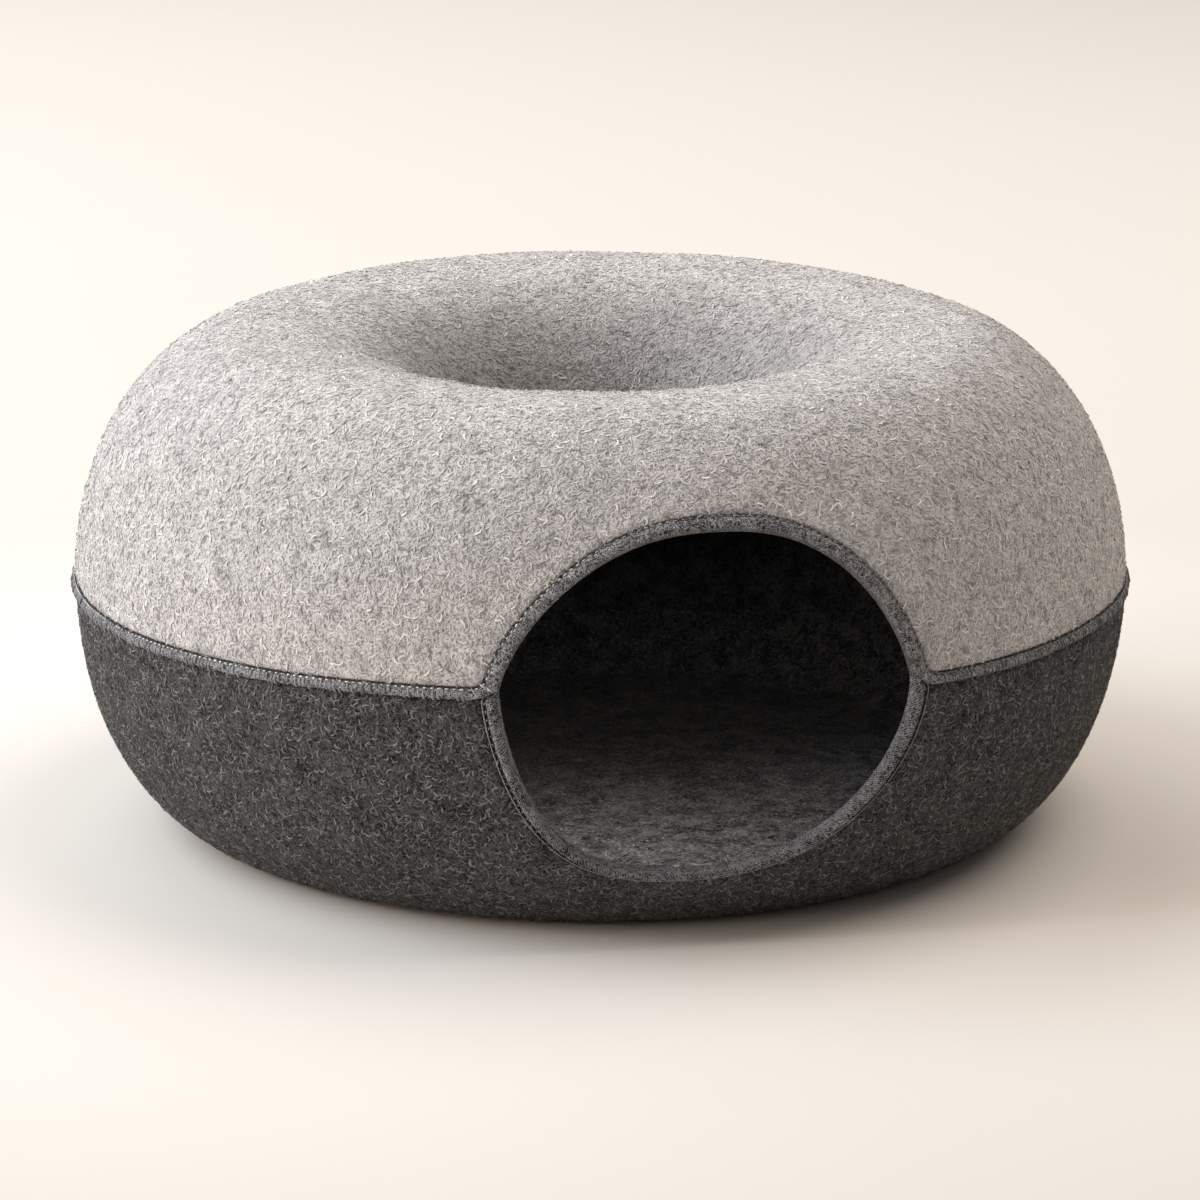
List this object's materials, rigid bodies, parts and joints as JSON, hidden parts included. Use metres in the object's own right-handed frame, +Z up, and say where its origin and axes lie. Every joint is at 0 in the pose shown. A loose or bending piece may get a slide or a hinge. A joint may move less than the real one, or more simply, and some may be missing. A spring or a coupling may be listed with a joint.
{
  "type": "donut cat tunnel",
  "caption": "Round hollow cat tunnel of thick felt: a light upper shell with a centre hole, a charcoal lower shell, and a bound oval doorway at the front.",
  "frame": {"origin": "middle of the flat base, on the surface that the tunnel stands on", "axes": "+Z up, -Y out of the doorway, +X to the right as seen from in front of the doorway"},
  "size_m": [0.605, 0.5857, 0.28],
  "materials": {
    "light_felt": "fuzzy light grey marled needle felt",
    "charcoal_felt": "fuzzy charcoal marled needle felt with pale fibres",
    "edge_strip": "mid grey bias strip with pale running stitches",
    "sill_binding": "soft blue-grey knitted binding with pale running stitches"
  },
  "bodies": {
    "root": {"upper_shell": "light_felt", "lower_shell": "charcoal_felt", "seam_strip": "edge_strip", "door_binding": "sill_binding"}
  },
  "joints": []
}
